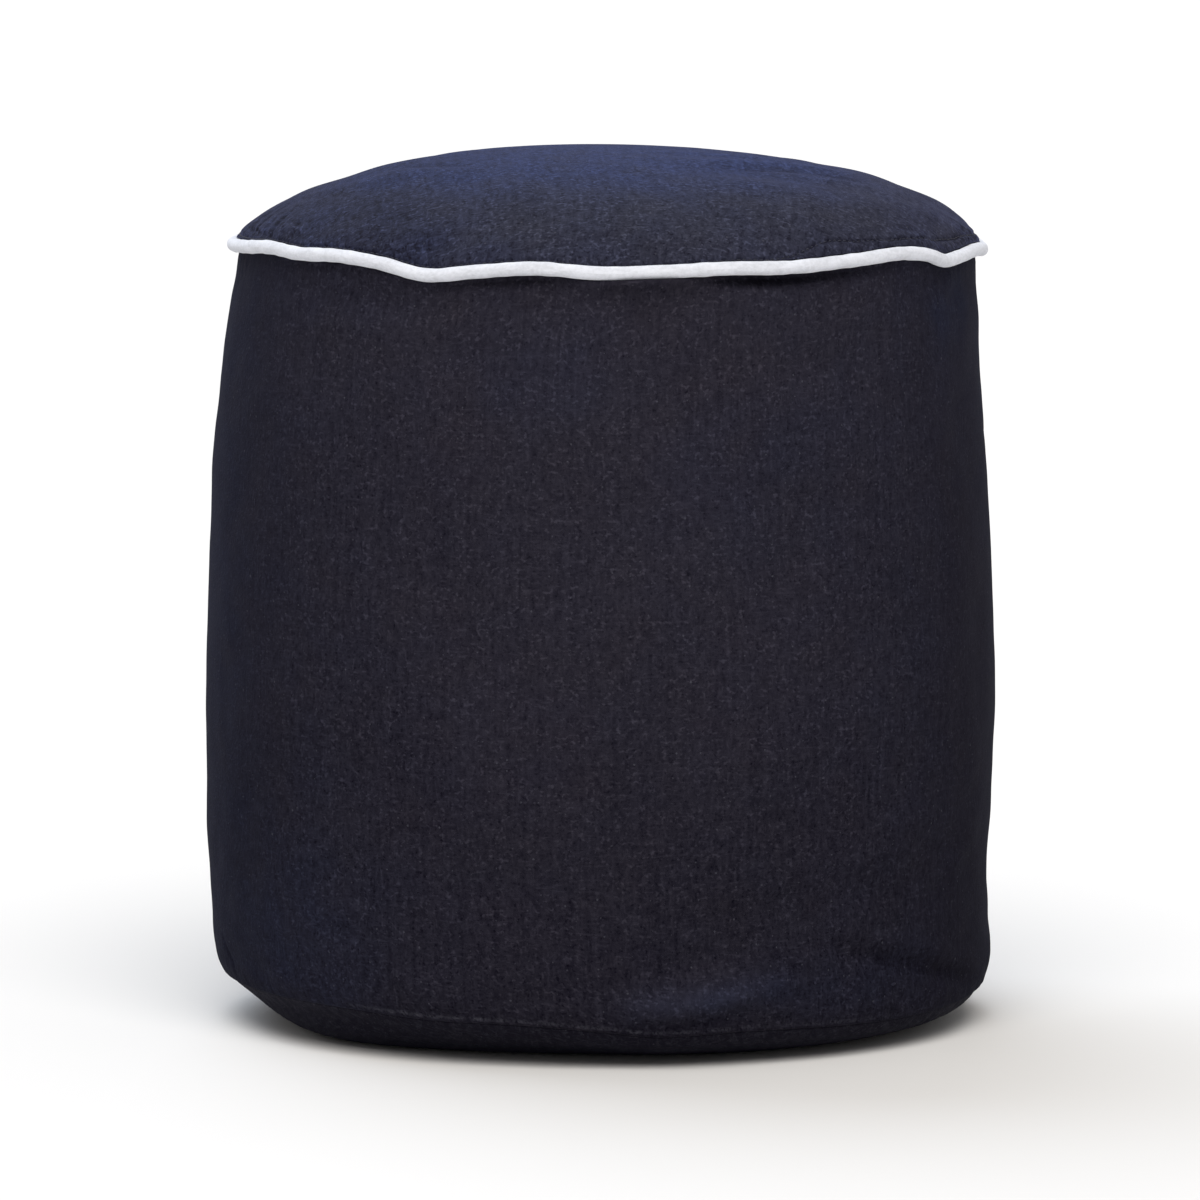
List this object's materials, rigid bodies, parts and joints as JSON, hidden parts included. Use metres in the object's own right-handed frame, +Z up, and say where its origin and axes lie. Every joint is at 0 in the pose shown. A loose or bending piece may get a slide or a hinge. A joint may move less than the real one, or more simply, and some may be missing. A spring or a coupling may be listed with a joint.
{
  "type": "round denim bean bag seat",
  "caption": "Round drum-shaped bean bag seat in dark denim, with a crowned top panel, a barrelled side wall and a contrasting piped top seam.",
  "frame": {"origin": "on the floor, below the middle of the bag's bounding box", "axes": "+Z up along the bag's height, -Y towards the pictured front, +X to its right"},
  "size_m": [0.412, 0.412, 0.4547],
  "materials": {
    "denim": "heathered dark indigo twill, matt",
    "piping": "white cotton bias cloth over cord, matt"
  },
  "bodies": {
    "root": {"side_wall": "denim", "top_panel": "denim", "base_panel": "denim", "top_piping": "piping"}
  },
  "joints": []
}
